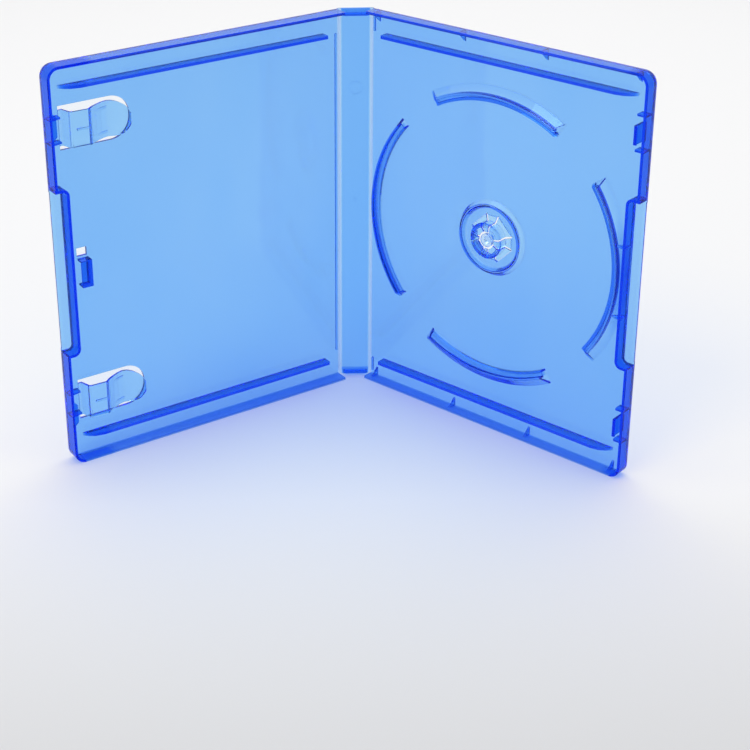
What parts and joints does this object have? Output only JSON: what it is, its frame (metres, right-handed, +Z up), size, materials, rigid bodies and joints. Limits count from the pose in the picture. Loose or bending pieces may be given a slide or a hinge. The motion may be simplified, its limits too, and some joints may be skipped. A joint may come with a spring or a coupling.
{
  "type": "disc storage case",
  "caption": "Open book-style case of translucent blue plastic with a disc tray, booklet clips and living hinges, wrapped in a clear film sleeve.",
  "frame": {"origin": "middle of the standing case's footprint, on the surface it stands on", "axes": "+Z up along the hinge lines, +Y to the back where the spine is, front cover at -X, rear cover with the tray at +X"},
  "size_m": [0.229, 0.0972, 0.171],
  "materials": {
    "blue_plastic": "smooth translucent moulded polypropylene",
    "pale_hinge_plastic": "thin or clear moulded polypropylene, paler than the rest",
    "clear_film": "clear glossy film"
  },
  "bodies": {
    "spine": {"spine": "blue_plastic", "clear_sleeve": "clear_film"},
    "front_cover": {"front_cover": "blue_plastic", "front_hinge_web": "pale_hinge_plastic"},
    "rear_cover": {"rear_cover": "blue_plastic", "rear_hinge_web": "pale_hinge_plastic"},
    "upper_booklet_clip": {"upper_booklet_clip": "blue_plastic"},
    "lower_booklet_clip": {"lower_booklet_clip": "blue_plastic"},
    "hub_button": {"hub_button": "pale_hinge_plastic"},
    "hub_finger_1": {"hub_finger_1": "blue_plastic"},
    "hub_finger_2": {"hub_finger_2": "blue_plastic"},
    "hub_finger_3": {"hub_finger_3": "blue_plastic"},
    "hub_finger_4": {"hub_finger_4": "blue_plastic"},
    "hub_finger_5": {"hub_finger_5": "blue_plastic"},
    "hub_finger_6": {"hub_finger_6": "blue_plastic"},
    "hub_finger_7": {"hub_finger_7": "blue_plastic"},
    "hub_finger_8": {"hub_finger_8": "blue_plastic"}
  },
  "joints": [
    {"name": "front_cover_hinge", "type": "hinge", "parent": "spine", "child": "front_cover", "pos_m": [0.00096, 0.04844, 0], "axis": [0, 0, 1], "range_deg": [-31.7, 58.3], "deforming": ["front_hinge_web", "clear_sleeve"]},
    {"name": "rear_cover_hinge", "type": "hinge", "parent": "spine", "child": "rear_cover", "pos_m": [0.01496, 0.04844, 0], "axis": [0, 0, 1], "range_deg": [-47.2, 42.8], "deforming": ["rear_hinge_web", "clear_sleeve"]},
    {"name": "hub_button_press", "type": "slide", "parent": "rear_cover", "child": "hub_button", "axis": [0.6794, 0.7337, 0], "range_m": [0, 0.0007], "stiffness_N_per_m": 3000},
    {"name": "hub_finger_1_flex", "type": "hinge", "parent": "rear_cover", "child": "hub_finger_1", "pos_m": [0.06952, -0.00317, 0.0855], "axis": [0, 0, -1], "range_deg": [0, 8]},
    {"name": "hub_finger_2_flex", "type": "hinge", "parent": "rear_cover", "child": "hub_finger_2", "pos_m": [0.06718, -0.001, 0.09201], "axis": [0.5188, -0.4804, -0.7071], "range_deg": [0, 8]},
    {"name": "hub_finger_3_flex", "type": "hinge", "parent": "rear_cover", "child": "hub_finger_3", "pos_m": [0.0624, 0.00342, 0.0952], "axis": [0.7337, -0.6794, 0], "range_deg": [0, 8]},
    {"name": "hub_finger_4_flex", "type": "hinge", "parent": "rear_cover", "child": "hub_finger_4", "pos_m": [0.05763, 0.00784, 0.09201], "axis": [0.5188, -0.4804, 0.7071], "range_deg": [0, 8]},
    {"name": "hub_finger_5_flex", "type": "hinge", "parent": "rear_cover", "child": "hub_finger_5", "pos_m": [0.05529, 0.01001, 0.0855], "axis": [0, 0, 1], "range_deg": [0, 8]},
    {"name": "hub_finger_6_flex", "type": "hinge", "parent": "rear_cover", "child": "hub_finger_6", "pos_m": [0.05763, 0.00784, 0.07899], "axis": [-0.5188, 0.4804, 0.7071], "range_deg": [0, 8]},
    {"name": "hub_finger_7_flex", "type": "hinge", "parent": "rear_cover", "child": "hub_finger_7", "pos_m": [0.0624, 0.00342, 0.0758], "axis": [-0.7337, 0.6794, 0], "range_deg": [0, 8]},
    {"name": "hub_finger_8_flex", "type": "hinge", "parent": "rear_cover", "child": "hub_finger_8", "pos_m": [0.06718, -0.001, 0.07899], "axis": [-0.5188, 0.4804, -0.7071], "range_deg": [0, 8]},
    {"name": "upper_clip_flex", "type": "hinge", "parent": "front_cover", "child": "upper_booklet_clip", "pos_m": [-0.10911, -0.02036, 0.1445], "axis": [0, 0, -1], "range_deg": [0, 6], "stiffness_Nm_per_rad": 0.05},
    {"name": "lower_clip_flex", "type": "hinge", "parent": "front_cover", "child": "lower_booklet_clip", "pos_m": [-0.10911, -0.02036, 0.0263], "axis": [0, 0, -1], "range_deg": [0, 6], "stiffness_Nm_per_rad": 0.05}
  ],
  "couplings": [
    {"joint": "hub_finger_1_flex", "follows": "hub_button_press", "rad_per_m": 169.49},
    {"joint": "hub_finger_2_flex", "follows": "hub_button_press", "rad_per_m": 185.19},
    {"joint": "hub_finger_3_flex", "follows": "hub_button_press", "rad_per_m": 169.49},
    {"joint": "hub_finger_4_flex", "follows": "hub_button_press", "rad_per_m": 185.19},
    {"joint": "hub_finger_5_flex", "follows": "hub_button_press", "rad_per_m": 169.49},
    {"joint": "hub_finger_6_flex", "follows": "hub_button_press", "rad_per_m": 185.19},
    {"joint": "hub_finger_7_flex", "follows": "hub_button_press", "rad_per_m": 169.49},
    {"joint": "hub_finger_8_flex", "follows": "hub_button_press", "rad_per_m": 185.19}
  ]
}
